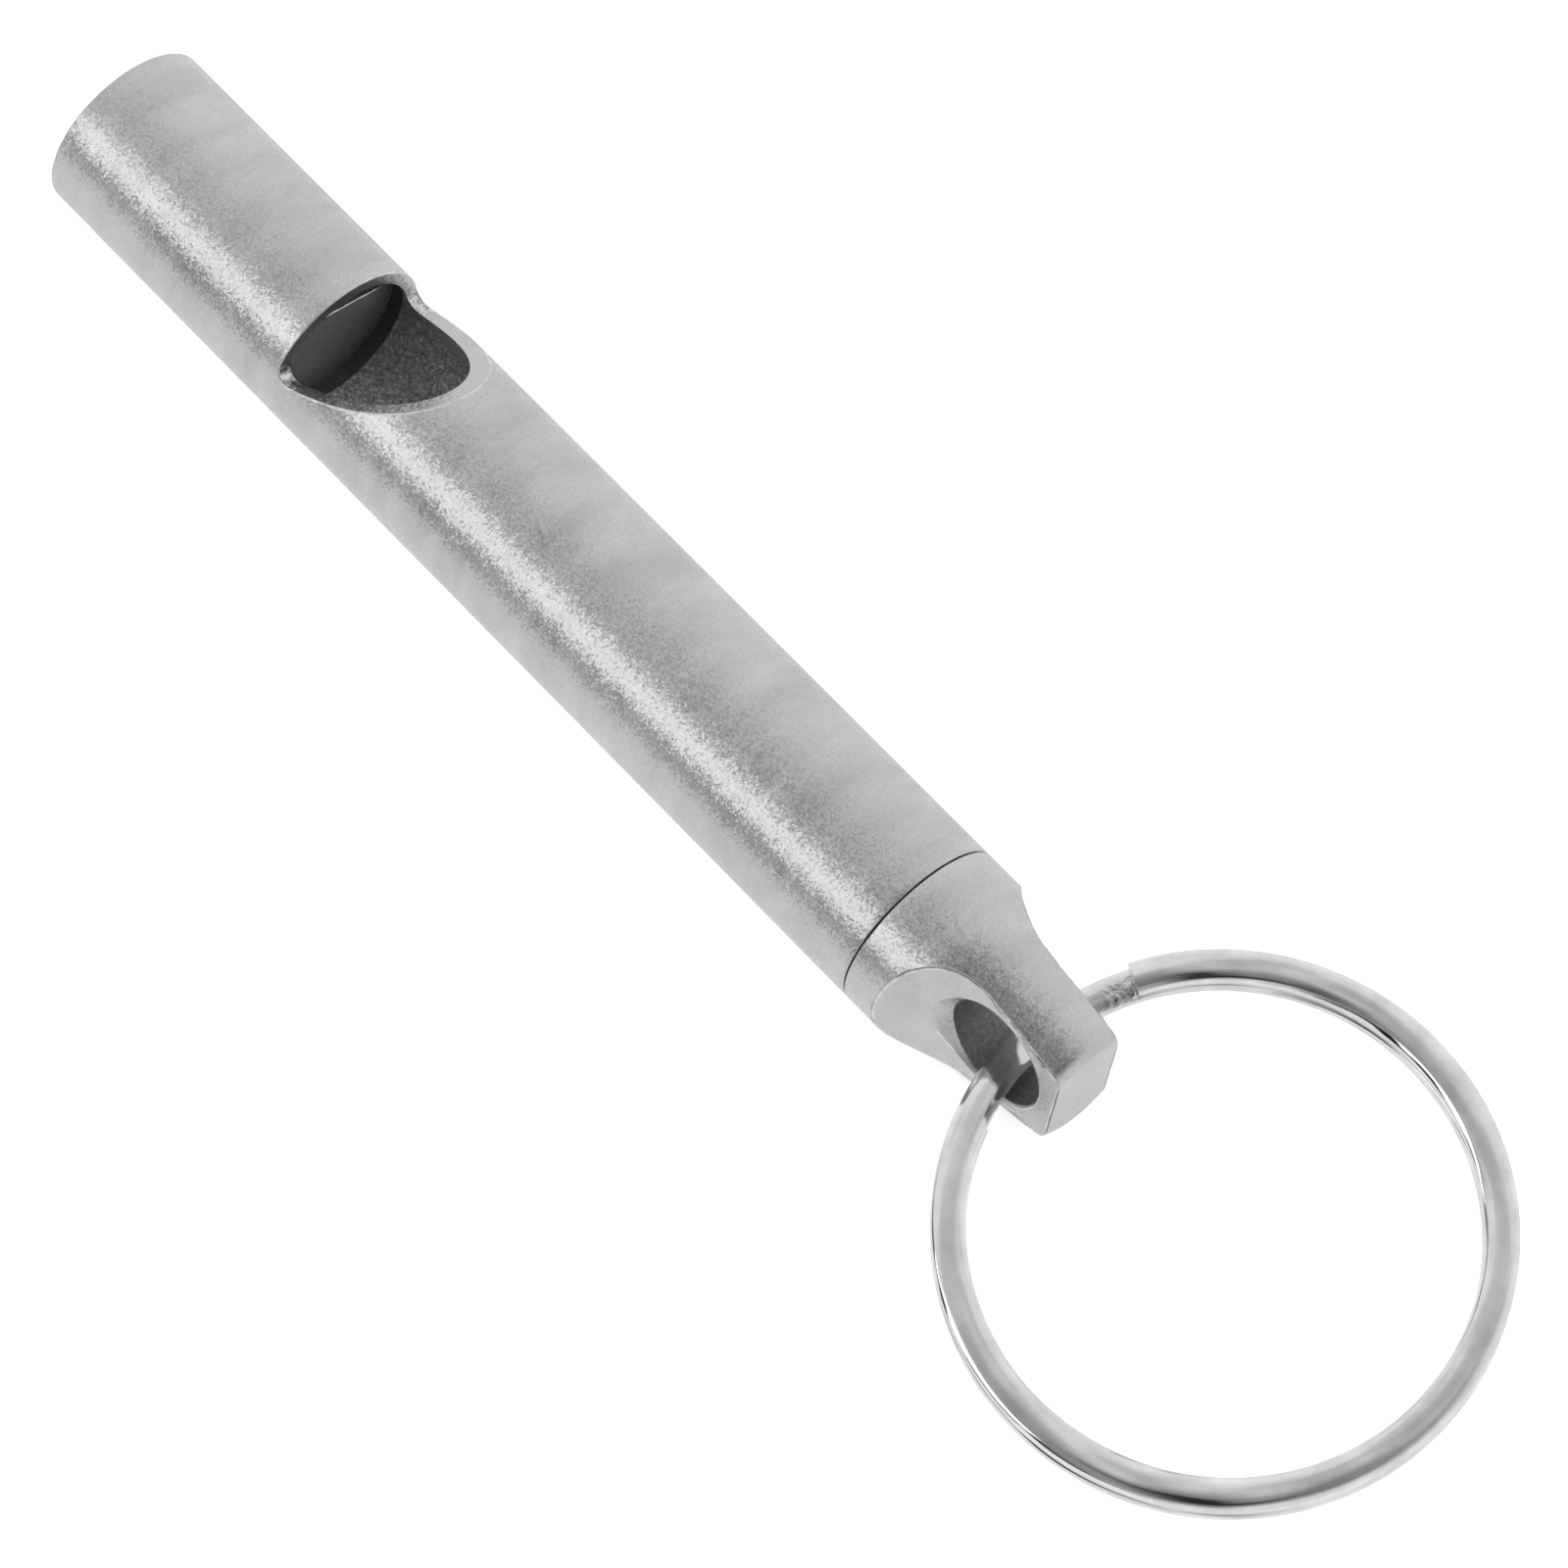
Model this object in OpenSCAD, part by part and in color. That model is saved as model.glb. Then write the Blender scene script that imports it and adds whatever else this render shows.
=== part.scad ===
// Pocket whistle on a split ring: one loud note, blown through a stopped titanium tube.
//
// Four pieces: the tube with its sounding window, the fipple plug pressed into the mouth
// end, the end cap whose spigot closes the other end, and the split ring through its tang.
//
// Frame: the origin is the centre of the mouth end. +X runs along the tube's axis from the
// mouth to the cap, and +Z is up. The whistle lies on its side on a flat surface that
// touches the tube from below, and the ring lies down beside it on the same surface.

/* [Tube] */
// Outside diameter of the tube and the cap
tube_d = 8; // [7:0.1:10]
// Length of the tube, from the mouth to the seam
tube_len = 49.3; // [40:0.1:60]
// Wall of the tube along the air chamber
tube_wall = 0.6; // [0.5:0.05:0.9]
// Rounding of the mouth end's outer edge
mouth_round = 0.1; // [0.05:0.05:0.35]
// Chamfer on each edge of the seam
seam_chamfer = 0.05; // [0.02:0.01:0.1]

/* [Plug seat] */
// Depth of the plug's counterbore into the tube's wall
seat_step = 0.1; // [0.05:0.05:0.1]
// How far the counterbore runs past the plug's inner face
seat_past_plug = 0.7; // [0.2:0.1:1]

/* [Window] */
// Distance from the mouth to the window's square-cut edge
window_start = 14.1; // [12:0.1:16]
// Depth of the square-cut edge, from the tube's outside to the ramp
window_depth = 3.5; // [3:0.05:3.8]
// Slope of the window's ramp where it starts, in degrees
ramp_slope = 18; // [14:0.5:22]
// Radius of the cutter that made the ramp
ramp_radius = 24; // [20:0.5:30]
// How far the window leans to the +Y side as the whistle lies, in degrees
window_lean = 19.6; // [0:0.2:30]

/* [Fipple plug] */
// Distance from the plug's inner face to the window's square-cut edge
plug_short_of_window = 1; // [0.4:0.1:2]
// Height of the windway, from the plug's flat to the counterbore
windway_h = 2.4; // [1.6:0.05:2.8]
// How far the plug's outer face is sunk below the mouth end
plug_sink = 0.2; // [0:0.05:0.5]
// Bevel along the inner edge of the plug's flat
plug_bevel = 0.15; // [0.05:0.05:0.3]

/* [End cap] */
// Length of the cap outside the tube
cap_len = 9.55; // [9.3:0.05:14]
// Length of the spigot inside the tube
spigot_len = 4; // [3:0.5:8]
// Chamfer on the spigot's inner end
spigot_chamfer = 0.3; // [0.1:0.05:0.5]
// Length of the cap's full-diameter part, up to the taper
cap_round_len = 3.2; // [2.5:0.1:6]
// Taper of the tang's round sides, in degrees
tang_taper = 10.5; // [5:0.5:15]
// Rounding of the tip's edge
tip_round = 0.55; // [0.3:0.05:1]
// Thickness of the tang between its two flats
tang_t = 3.3; // [2.8:0.05:4]
// Distance from the seam to where the run-ins end and the flats start
flat_start = 5.4; // [5.2:0.05:6]
// Radius of the run-in that the cutter leaves at the start of each flat
run_in_r = 4.15; // [3.5:0.05:4.5]
// How far the tang leans to the +Y side as the whistle lies, in degrees
tang_lean = 13; // [0:0.2:20]

/* [Ring hole] */
// Diameter of the hole through the tang
hole_d = 4.9; // [4.4:0.1:5]
// Distance from the tip to the hole's centre
hole_from_tip = 3.35; // [3.2:0.05:4]
// Width of the countersink round each rim of the hole
sink_w = 0.12; // [0.02:0.01:0.25]
// Slope of the countersink against the hole's axis, in degrees
sink_slope = 40; // [25:1:45]

/* [Split ring] */
// Outside diameter of the split ring
ring_od = 23.2; // [20:0.1:26]
// Width of the wire across the ring
wire_w = 1.45; // [1.2:0.05:1.6]
// Thickness of the wire along the ring's axis
wire_t = 0.8; // [0.6:0.05:0.9]
// Bevel on the wire's edges
wire_bevel = 0.24; // [0.1:0.02:0.28]
// Gap between the two coils
coil_gap = 0.04; // [0.02:0.01:0.1]
// Distance from the tang's +Y flat to the upper coil's end
upper_end_gap = 3.3; // [2.5:0.1:5]
// Distance from the tang's -Y flat to the lower coil's end
lower_end_gap = 2; // [1.8:0.1:3]
// Start of the crank, as a share of the way from the hole to the lower coil's end
crank_start = 0.6; // [0.5:0.05:0.7]
// End of the crank, as a share of the way from the hole to the upper coil's end
crank_stop = 0.5; // [0.4:0.05:0.7]
// Turn of the ring about the hole as it lies, in degrees
ring_turn = 3.7; // [0:0.1:6]

/* [Fits] */
// Overlap of a pressed piece with its bore, on the radius
press = 0.01; // [0:0.005:0.02]
// Gap between the wire and the hole's wall
wire_gap = 0.27; // [0.08:0.01:0.3]

/* [Hidden] */
$fn = 96;
eps = 0.01;

// Tube and plug
tube_r = tube_d / 2;
bore_r = tube_r - tube_wall;
seat_r = bore_r + seat_step;
plug_end = window_start - plug_short_of_window;
seat_len = plug_end + seat_past_plug;
plug_r = seat_r + press;
plug_flat = seat_r - windway_h;

// The ramp is an arc in the X-Z plane that starts at the window's square-cut edge
ramp_x = window_start - ramp_radius * sin(ramp_slope);
ramp_z = tube_r - window_depth + ramp_radius * cos(ramp_slope);

// End cap, from the seam towards the tip
tip_x = tube_len + cap_len;
taper_len = cap_len - cap_round_len;
tip_r = tube_r - taper_len * tan(tang_taper);
hole_x = tip_x - hole_from_tip;
hole_r = hole_d / 2;
flat_y = tang_t / 2;
run_in_x = tube_len + flat_start;
spigot_r = bore_r + press;

// The countersinks are taller on the side where they cut into the run-ins
sink_depth = sink_w / tan(sink_slope);
run_in_reach = max(0, run_in_x - hole_x + hole_r + sink_w);
sink_over = sink_depth + 2 * (run_in_r - sqrt(pow(run_in_r, 2) - pow(run_in_reach, 2)));

// Split ring: its wire lies on the lower side of the hole, and its far side on the surface.
// At the tang's flats its lower face is off the hole's lowest line, because the wire curves
// and turns away from it, and because the hole leans more than the crank does.
wire_r = (ring_od - wire_w) / 2;
level = (wire_t + coil_gap) / 2;
wire_flat = wire_w / 2 - wire_bevel;
wire_curve = wire_r - sqrt(pow(wire_r, 2) - pow(flat_y, 2));
wire_reach = wire_flat + wire_curve + flat_y * tan(ring_turn);
wire_lift = max(0, flat_y * tan(tang_lean) - level);
wire_drop = sqrt(pow(hole_r - wire_gap, 2) - pow(wire_reach, 2)) - wire_t / 2 - wire_lift;
ring_half_t = level + wire_t / 2;
ring_tilt = asin((tube_r - wire_drop - ring_half_t) / (2 * wire_r + wire_flat));
upper_end = asin((flat_y + upper_end_gap) / wire_r);
lower_end = asin((flat_y + lower_end_gap) / wire_r);
crank_from = -crank_start * lower_end;
crank_to = crank_stop * upper_end;
wire_turn = 720 - upper_end - lower_end;
wire_step = 5;
wire_rings = ceil(wire_turn / wire_step);

// A solid of revolution about the X axis, from a profile with radius across and X up
module turned() {
    rotate([0, 90, 0])
        rotate_extrude()
            children();
}

// A profile in the X-Z plane made solid on both sides of Y = 0
module milled_across(width) {
    rotate([90, 0, 0])
        linear_extrude(height = width, center = true)
            children();
}

module window_cut() {
    milled_across(2 * tube_d)
        intersection() {
            translate([ramp_x, ramp_z])
                circle(r = ramp_radius);
            translate([window_start, 0])
                square([ramp_radius, tube_d]);
        }
}

module tube_profile() {
    difference() {
        union() {
            polygon([
                [0, 0],
                [tube_r - mouth_round, 0],
                [tube_r, mouth_round],
                [tube_r, tube_len - seam_chamfer],
                [tube_r - seam_chamfer, tube_len],
                [0, tube_len]
            ]);
            translate([tube_r - mouth_round, mouth_round])
                circle(r = mouth_round);
        }
        translate([-tube_d, -eps])
            square([tube_d + bore_r, tube_len + 2 * eps]);
        translate([-tube_d, -eps])
            square([tube_d + seat_r, seat_len + eps]);
    }
}

module whistle_tube() {
    color("silver")
        rotate([-window_lean, 0, 0])
            difference() {
                turned()
                    tube_profile();
                window_cut();
            }
}

module fipple_plug() {
    color("dimgray")
        rotate([-window_lean, 0, 0])
            difference() {
                translate([plug_sink, 0, 0])
                    rotate([0, 90, 0])
                        cylinder(r = plug_r, h = plug_end - plug_sink);
                translate([-eps, -tube_d, plug_flat])
                    cube([tube_len, 2 * tube_d, tube_d]);
                milled_across(2 * tube_d)
                    polygon([
                        [plug_end - plug_bevel, plug_flat + eps],
                        [plug_end + eps, plug_flat + eps],
                        [plug_end + eps, plug_flat - plug_bevel]
                    ]);
            }
}

module cap_profile() {
    round_x = tip_x - tip_round;
    round_r = tip_r - tip_round;
    polygon([
        [0, tube_len - spigot_len],
        [spigot_r - spigot_chamfer, tube_len - spigot_len],
        [spigot_r, tube_len - spigot_len + spigot_chamfer],
        [spigot_r, tube_len],
        [tube_r - seam_chamfer, tube_len],
        [tube_r, tube_len + seam_chamfer],
        [tube_r, tube_len + cap_round_len],
        [round_r + tip_round * cos(tang_taper), round_x + tip_round * sin(tang_taper)],
        [round_r, tip_x],
        [0, tip_x]
    ]);
    intersection() {
        translate([round_r, round_x])
            circle(r = tip_round);
        translate([0, round_x - tip_round])
            square([tube_r, 2 * tip_round]);
    }
}

// What the cutter takes off on the +Y side, seen along Z
module flat_cut() {
    linear_extrude(height = 2 * tube_d, center = true) {
        translate([run_in_x, flat_y + run_in_r])
            circle(r = run_in_r);
        translate([run_in_x, flat_y])
            square([cap_len, tube_d]);
    }
}

module ring_hole() {
    translate([hole_x, 0, 0])
        rotate([90, 0, 0]) {
            cylinder(r = hole_r, h = 2 * tube_d, center = true);
            for (side = [-1, 1])
                translate([0, 0, side * flat_y])
                    mirror([0, 0, side < 0 ? 1 : 0])
                        translate([0, 0, -sink_depth])
                            cylinder(
                                h = sink_depth + sink_over,
                                r1 = hole_r,
                                r2 = hole_r + (sink_depth + sink_over) * tan(sink_slope)
                            );
        }
}

module end_cap() {
    color("silver")
        rotate([-tang_lean, 0, 0])
            difference() {
                turned()
                    cap_profile();
                flat_cut();
                mirror([0, 1, 0])
                    flat_cut();
                ring_hole();
            }
}

// The wire's path starts at the upper coil's end. Angles count from the hole, and the wire
// passes it once, where it is cranked from the upper coil down to the lower one.
function crank(a) = let (t = min(1, max(0, (a - crank_from) / (crank_to - crank_from)))) t * t * (3 - 2 * t);
function wire_z(a) = level * (1 - 2 * crank(a));
function wire_section() = let (w = wire_w / 2, t = wire_t / 2, b = wire_bevel) [
    [w, t - b], [w - b, t], [b - w, t], [-w, t - b],
    [-w, b - t], [b - w, -t], [w - b, -t], [w, b - t]
];
function wire_points() = [
    for (i = [0:wire_rings])
        let (a = upper_end - 360 + wire_turn * i / wire_rings)
            for (p = wire_section())
                [-(wire_r + p[0]) * cos(a), (wire_r + p[0]) * sin(a), wire_z(a) + p[1]]
];
function wire_faces(n) = concat(
    [[for (j = [0:n - 1]) j]],
    [[for (j = [n - 1:-1:0]) wire_rings * n + j]],
    [
        for (i = [0:wire_rings - 1], j = [0:n - 1])
            [i * n + j, (i + 1) * n + j, (i + 1) * n + (j + 1) % n, i * n + (j + 1) % n]
    ]
);

module split_ring() {
    color("gainsboro")
        translate([hole_x, 0, -wire_drop])
            rotate([0, ring_tilt, ring_turn])
                translate([wire_r, 0, 0])
                    polyhedron(points = wire_points(), faces = wire_faces(8), convexity = 6);
}

whistle_tube();
fipple_plug();
end_cap();
split_ring();
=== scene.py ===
"""A pocket whistle on a split ring, in bead-blasted titanium and bright nickel plate.

The tube, the plug and the cap are remade here with the softened edges that blasting leaves,
on the sizes of their CAD nodes. The split ring is one crowned wire swept along its coil.
Sizes are in millimetres until a mesh is built, and the meshes are in metres.
"""
import math

import bmesh
import bpy
import numpy as np
from mathutils import Matrix, Vector


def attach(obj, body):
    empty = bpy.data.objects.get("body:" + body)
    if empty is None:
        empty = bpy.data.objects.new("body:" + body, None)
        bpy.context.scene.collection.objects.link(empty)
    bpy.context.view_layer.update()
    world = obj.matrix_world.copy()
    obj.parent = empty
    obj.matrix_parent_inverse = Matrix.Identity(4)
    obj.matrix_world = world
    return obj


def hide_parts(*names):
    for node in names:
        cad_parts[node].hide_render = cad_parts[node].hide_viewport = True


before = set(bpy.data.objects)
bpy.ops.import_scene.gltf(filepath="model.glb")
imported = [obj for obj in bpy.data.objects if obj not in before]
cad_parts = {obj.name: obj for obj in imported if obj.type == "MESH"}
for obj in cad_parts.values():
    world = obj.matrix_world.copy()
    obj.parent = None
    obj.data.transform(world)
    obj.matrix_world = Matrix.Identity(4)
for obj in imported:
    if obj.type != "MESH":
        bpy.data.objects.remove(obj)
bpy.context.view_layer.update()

MM = 0.001

# Tube. Its skin lies a hair inside the CAD's box.
TUBE_R = 3.998
TUBE_LEN = 49.3
BORE_R = 3.4
SEAT_R = 3.5
SEAT_END = 13.8
STEP_EDGE = 0.06
SEAT_LEAD_IN = 0.03
MOUTH_ROUND = 0.1
SEAM_GAP = 0.035
SEAM_ROUND = 0.05
SEAM_LAND_R = 3.7
WINDOW_START = 14.1
WINDOW_FLOOR = 0.5
WINDOW_LEAN = 19.6
TUBE_EDGE = 0.07
RAMP_R = 24.0
RAMP_SLOPE = math.radians(18)
RAMP_X = WINDOW_START - RAMP_R * math.sin(RAMP_SLOPE)
RAMP_Z = WINDOW_FLOOR + RAMP_R * math.cos(RAMP_SLOPE)
# The window's corner, rounded here as the cutter leaves it
CORNER_R = 0.6
CORNER_STEPS = 8

# Plug
PLUG_SINK = 0.2
PLUG_END = 13.1
PLUG_FLAT = 1.1
PLUG_EDGE = 0.1

# Cap. Its round ends in a taper, from a shoulder that the blasting has blended.
TIP_X = 58.85
CAP_ROUND_END = 52.5
SHOULDER_BLEND = 0.7
TANG_TAPER = math.radians(10.5)
TIP_ROUND = 0.55
TANG_LEAN = 13.0
FLAT_Y = 1.65
RUN_IN_X = 54.7
RUN_IN_R = 4.15
HOLE_X = 55.5
HOLE_R = 2.45
SINK_W = 0.12
SINK_SLOPE = math.radians(40)
SPIGOT_LEN = 4.0
SPIGOT_CHAMFER = 0.3
CAP_EDGE = 0.09
TIP_R = TUBE_R - (TIP_X - CAP_ROUND_END) * math.tan(TANG_TAPER)
TIP_FACE_R = TIP_R - TIP_ROUND
RUN_IN_START = RUN_IN_X - math.sqrt(RUN_IN_R ** 2 - (RUN_IN_R + FLAT_Y - TUBE_R) ** 2)

# Split ring. Its ends lie so far past the tang's flats, and its wire passes from the upper
# coil to the lower one between the two cranks, given as parts of the way to each end.
WIRE_R = 10.875
WIRE_W = 1.436
WIRE_T = 0.79
COIL_GAP = 0.04
UPPER_GAP = 3.3
LOWER_GAP = 2.0
RING_TURN = 3.7
CRANK_START = 0.6
CRANK_STOP = 0.5
CROWN = 0.78
# The wire's middle lies so far below the hole's axis, and the ring's far side on the floor
WIRE_DROP = 1.6585
RING_TILT = math.radians(3.9237)

# Points closer than this are one, and an edge that turns less than this is a smooth one
WELD = 0.0015
SOFT_TURN = math.radians(28)
SHARP_TURN = math.radians(35)
# Slack in telling which edges lie at a place
NEAR = 0.01


# ---------------------------------------------------------------- meshes

def fractions(count, first=None):
    """Steps from 0 to 1, with a short first one where first is given, so a bevel has room."""
    if first is None:
        return [i / count for i in range(count + 1)]
    return [0.0] + [first + (1 - first) * i / (count - 1) for i in range(count)]


class Skin:
    """The patches of one piece, as points and quads in millimetres, each with its finish."""

    def __init__(self):
        self.points = []
        self.faces = []
        self.finish = []

    def patch(self, rows, finish="blasted"):
        """Adds rows of points, with a quad between each four neighbours."""
        first, n = len(self.points), len(rows[0])
        for row in rows:
            self.points.extend(row)
        for i in range(len(rows) - 1):
            for j in range(n - 1):
                a = first + i * n + j
                self.faces.append((a, a + 1, a + n + 1, a + n))
                self.finish.append(finish)

    def mirror(self, axis):
        """Adds the other half of all that is there so far."""
        n = len(self.points)
        for p in self.points[:n]:
            q = list(p)
            q[axis] = -q[axis]
            self.points.append(tuple(q))
        self.faces += [tuple(n + i for i in reversed(f)) for f in self.faces]
        self.finish += self.finish

    def build(self, name, lean, soft_edge):
        """One closed mesh. soft_edge gives the bevel weight of a sharp edge from its two ends."""
        # The last slot is the edges' finish, whose lighter colour is partly a painted highlight
        slots = sorted(set(self.finish)) + ["edge_wear_and_highlight"]
        bm = bmesh.new()
        verts = [bm.verts.new(p) for p in self.points]
        for f, finish in zip(self.faces, self.finish):
            face = bm.faces.new([verts[i] for i in f])
            face.material_index = slots.index(finish)
        bmesh.ops.remove_doubles(bm, verts=bm.verts, dist=WELD)
        bmesh.ops.recalc_face_normals(bm, faces=bm.faces)
        weight = bm.edges.layers.float.new("bevel_weight_edge")
        for e in bm.edges:
            if len(e.link_faces) == 2 and e.calc_face_angle() > SOFT_TURN:
                e[weight] = soft_edge(e.verts[0].co, e.verts[1].co)
        bm.transform(Matrix.Scale(MM, 4) @ Matrix.Rotation(math.radians(-lean), 4, "X"))
        mesh = bpy.data.meshes.new(name)
        bm.to_mesh(mesh)
        bm.free()
        mesh.shade_smooth()
        mesh.set_sharp_from_angle(angle=SHARP_TURN)
        for finish in slots:
            mesh.materials.append(FINISHES[finish])
        piece = bpy.data.objects.new(name, mesh)
        bpy.context.scene.collection.objects.link(piece)
        return piece


def soften(piece, width):
    """Rounds the weighted edges and gives them the last slot's finish: lighter metal, worn and
    with a painted highlight.
    """
    bevel = piece.modifiers.new("softened_edges", "BEVEL")
    bevel.limit_method = "WEIGHT"
    bevel.width = width * MM
    bevel.segments = 3
    bevel.use_clamp_overlap = False
    bevel.material = len(piece.data.materials) - 1
    return piece


def on_tube(x, angle, radius):
    """A point on a round of that radius. The angle counts from the top towards +Y."""
    return (x, radius * math.sin(angle), radius * math.cos(angle))


def seam_edge(face_x, way):
    """The rounded edge beside the seam, from the skin to the face. way is +1 or -1 into it."""
    points = []
    for k in range(1, 4):
        turn = math.pi / 6 * k
        shrink = SEAM_ROUND * (1 - math.cos(turn))
        points.append((face_x - way * SEAM_ROUND * (1 - math.sin(turn)), TUBE_R - shrink))
    return points


def window_profile():
    """The window's cut from its corner to far up the ramp, as points (x, z)."""
    centre_x = WINDOW_START + CORNER_R
    reach = RAMP_R - CORNER_R
    centre_z = RAMP_Z - math.sqrt(reach ** 2 - (centre_x - RAMP_X) ** 2)
    end = math.atan2(centre_z - RAMP_Z, centre_x - RAMP_X) + 2 * math.pi
    corner = []
    for t in fractions(CORNER_STEPS):
        turn = math.pi + (end - math.pi) * t
        corner.append((centre_x + CORNER_R * math.cos(turn), centre_z + CORNER_R * math.sin(turn)))
    return corner


def ramp_at(height):
    """Where the ramp reaches that height above the tube's axis."""
    return RAMP_X + math.sqrt(RAMP_R ** 2 - (RAMP_Z - height) ** 2)


def tube_wall(skin, radius, corner, fan):
    """The outside or the bore. Its rows fan out from the window's rim, which is returned."""
    far_x, slant = 28.0, 4.0
    along, around, face_steps = 44, 48, 24
    outside = radius == TUBE_R
    finish = "blasted" if outside else "bored"
    rim = [(x, math.acos(z / radius)) for x, z in corner]
    ramp_start = rim[-1][1]
    for s in fractions(along + around)[1:]:
        angle = ramp_start * (1 - s)
        rim.append((ramp_at(radius * math.cos(angle)), angle))
    start = rim[0][1]
    near_x = WINDOW_START - (slant if outside else 0)
    goals = [(near_x + (far_x - near_x) * t, math.pi) for t in fractions(CORNER_STEPS + along)]
    goals += [(far_x, math.pi * (1 - t)) for t in fractions(around)[1:]]
    rows = []
    for (x0, a0), (x1, a1) in zip(rim, goals):
        rows.append([on_tube(x0 + (x1 - x0) * t, a0 + (a1 - a0) * t, radius) for t in fan])
    skin.patch(rows, finish)

    # In front of the window, below and above its corner
    lower = [start + (math.pi - start) * t for t in fan]
    upper = [start * t for t in fractions(face_steps)]
    if outside:
        front = (0, 0.1, 0.3, 0.5, 0.7, 0.85, 0.95, 1)
        first_x, ends = MOUTH_ROUND, [WINDOW_START - slant * t for t in fan]
    else:
        front = (0, 0.5, 1)
        first_x, ends = SEAT_END + STEP_EDGE, [WINDOW_START] * len(fan)
    rows = [[on_tube(first_x + (x - first_x) * g, a, radius) for x, a in zip(ends, lower)]
            for g in front]
    skin.patch(rows, finish)
    rows = [[on_tube(first_x + (WINDOW_START - first_x) * g, a, radius) for a in upper]
            for g in front]
    skin.patch(rows, finish)

    # Behind the window
    back = [math.pi * (1 - t) for t in fractions(around)]
    end = TUBE_LEN - SEAM_GAP
    if outside:
        profile = [(x, TUBE_R) for x in (far_x, 34, 40, 46, end - 0.3, end - SEAM_ROUND)]
        profile += seam_edge(end, 1)
        profile += [(end, SEAM_LAND_R), (end, BORE_R)]
    else:
        profile = [(far_x, BORE_R), (40, BORE_R), (end, BORE_R)]
    skin.patch([[on_tube(x, a, r) for a in back] for x, r in profile], finish)
    return rim


def window_cut(skin, rims, face_sides):
    """The cut through the wall: the square-cut face, the torn corner, then the ramp."""
    across = (0, 0.15, 0.5, 0.85, 1)
    wall = []
    for t in face_sides:
        p, q = [on_tube(WINDOW_START, rims[r][0][1] * t, r) for r in (TUBE_R, BORE_R)]
        wall.append([tuple(a + (b - a) * u for a, b in zip(p, q)) for u in across])
    skin.patch(wall)
    wall = []
    for i, (p, q) in enumerate(zip(rims[TUBE_R], rims[BORE_R])):
        a, b = on_tube(*p, TUBE_R), on_tube(*q, BORE_R)
        row = []
        for u in across:
            x, y, z = [m + (n - m) * u for m, n in zip(a, b)]
            if i > CORNER_STEPS:
                z = RAMP_Z - math.sqrt(RAMP_R ** 2 - (x - RAMP_X) ** 2)
            row.append((x, y, z))
        wall.append(row)
    skin.patch(wall[:CORNER_STEPS + 3], "torn")
    skin.patch(wall[CORNER_STEPS + 2:])


def mouth_and_seat(skin, outside, inside):
    """The mouth's edge and face, the plug's seat and its step, over one run of angles."""
    rows = []
    for k in range(7):
        turn = math.pi / 12 * k
        x = MOUTH_ROUND * (1 - math.sin(turn))
        r = TUBE_R - MOUTH_ROUND * (1 - math.cos(turn))
        rows.append([on_tube(x, a, r) for a in outside])
    rows.append([on_tube(0.0, a, SEAT_R + SEAT_LEAD_IN) for a in inside])
    skin.patch(rows)
    seat = ((0.0, SEAT_R + SEAT_LEAD_IN), (SEAT_LEAD_IN, SEAT_R), (6.0, SEAT_R),
            (PLUG_END, SEAT_R), (SEAT_END, SEAT_R), (SEAT_END, BORE_R + STEP_EDGE))
    # The seat is coloured dark: painted shade in the groove between the plug's end and the step
    skin.patch([[on_tube(x, a, r) for a in inside] for x, r in seat], "soiled")
    step = ((SEAT_END, BORE_R + STEP_EDGE), (SEAT_END + STEP_EDGE, BORE_R))
    skin.patch([[on_tube(x, a, r) for a in inside] for x, r in step], "torn")


def tube():
    """Half of the tube, mirrored."""
    skin = Skin()
    corner = window_profile()
    fan = fractions(30, first=0.02)
    above = fractions(24)
    rims = {radius: tube_wall(skin, radius, corner, fan) for radius in (TUBE_R, BORE_R)}
    window_cut(skin, rims, above)
    # The angles below the window's corner go on from the fan, and those above it from the face
    outer, inner = rims[TUBE_R][0][1], rims[BORE_R][0][1]
    mouth_and_seat(skin, [outer + (math.pi - outer) * t for t in fan],
                   [inner + (math.pi - inner) * t for t in fan])
    mouth_and_seat(skin, [outer * t for t in above], [inner * t for t in above])
    skin.mirror(1)

    window_end = ramp_at(TUBE_R) + NEAR

    def weight(a, b):
        """The window's outer rim is soft."""
        radii = [math.hypot(v.y, v.z) for v in (a, b)]
        near_window = min(a.x, b.x) > WINDOW_START - NEAR and max(a.x, b.x) < window_end
        return 0.7 if near_window and min(radii) > TUBE_R - 0.1 else 0.0

    return soften(skin.build("tube", WINDOW_LEAN, weight), TUBE_EDGE)


def tang_height(x):
    """Half the tang's thickness at x, on the run-in and on the flat."""
    if x >= RUN_IN_X:
        return FLAT_Y
    return FLAT_Y + RUN_IN_R - math.sqrt(RUN_IN_R ** 2 - (RUN_IN_X - x) ** 2)


def cap_radius(x):
    """Radius of the cap's round at x: full, then blended into the taper, then the tip's edge."""
    centre = TIP_X - TIP_ROUND
    blend = centre + TIP_ROUND * math.sin(TANG_TAPER)
    past = x - (CAP_ROUND_END - SHOULDER_BLEND)
    if past <= 0:
        return TUBE_R
    if past < 2 * SHOULDER_BLEND:
        return TUBE_R - math.tan(TANG_TAPER) * past ** 2 / (4 * SHOULDER_BLEND)
    if x >= blend:
        return TIP_FACE_R + math.sqrt(max(0.0, TIP_ROUND ** 2 - (x - centre) ** 2))
    end = TIP_FACE_R + TIP_ROUND * math.cos(TANG_TAPER)
    return TUBE_R + (end - TUBE_R) * (x - CAP_ROUND_END) / (blend - CAP_ROUND_END)


def flat_edge(split_x, steps):
    """Places x along the edge of the tang's flat, from the start of its run-in to the tip."""
    places = [RUN_IN_START + (split_x - RUN_IN_START) * t * t for t in fractions(steps)]
    places += [split_x + (TIP_X - TIP_ROUND - split_x) * t for t in fractions(18)[1:]]
    places += [TIP_X - TIP_ROUND * (1 - math.sin(math.pi / 2 * t)) for t in fractions(8)[1:]]
    return places


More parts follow.
